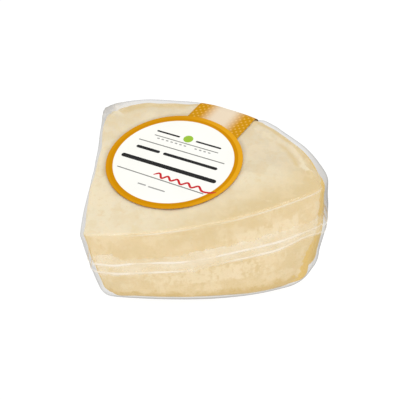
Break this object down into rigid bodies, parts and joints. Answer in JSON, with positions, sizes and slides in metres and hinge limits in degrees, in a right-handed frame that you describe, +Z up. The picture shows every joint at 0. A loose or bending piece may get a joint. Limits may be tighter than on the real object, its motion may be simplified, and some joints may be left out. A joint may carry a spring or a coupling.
{
  "type": "wrapped provolone cheese wedge",
  "caption": "Wedge of pale provolone sealed in clear shrink film, with a round paper label on top and a printed tape over the rind side.",
  "frame": {"origin": "under the middle of the wedge's box, on the surface it rests on", "axes": "+X towards the narrow rind end and the thicker side, +Y towards the rind at the back, -Y towards the front cut, +Z up"},
  "size_m": [0.0897, 0.0797, 0.0423],
  "materials": {
    "cheese": "pale cream cut cheese, soft satin",
    "film": "clear shrink film, glossy, with a hazy weld band and fine creases",
    "label_paper": "coated white paper with an amber ring",
    "tape_print": "amber print with light dots, fading to cream along the middle"
  },
  "bodies": {
    "root": {"pack": "cheese", "label": "label_paper", "tape": "tape_print"}
  },
  "joints": []
}
